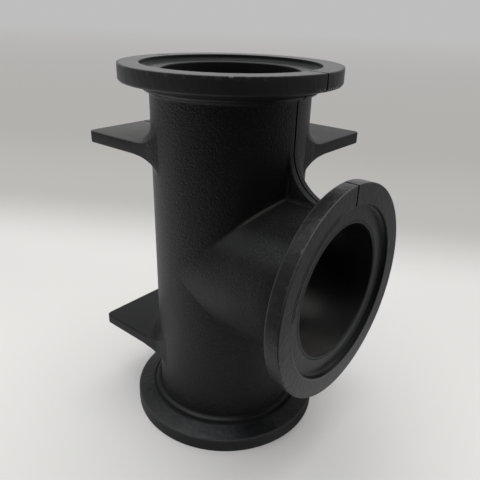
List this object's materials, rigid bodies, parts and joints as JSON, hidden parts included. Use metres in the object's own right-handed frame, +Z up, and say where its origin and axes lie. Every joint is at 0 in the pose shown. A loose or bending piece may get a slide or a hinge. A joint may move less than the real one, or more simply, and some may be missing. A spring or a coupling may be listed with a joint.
{
  "type": "pipe tee",
  "caption": "Flanged pipe tee moulded in one piece, with clamp flanges, gasket recesses, crotch webs and flat mounting feet.",
  "frame": {"origin": "centre of the lower flange's face", "axes": "+Z up the run, +X along the branch; the mould parts in the plane y = 0 and the side feet point along +Y"},
  "size_m": [0.1067, 0.0914, 0.1477],
  "materials": {
    "black_plastic": "fine spark-eroded matte, smoother on the flanges"
  },
  "bodies": {
    "root": {"tee_body": "black_plastic"}
  },
  "joints": []
}
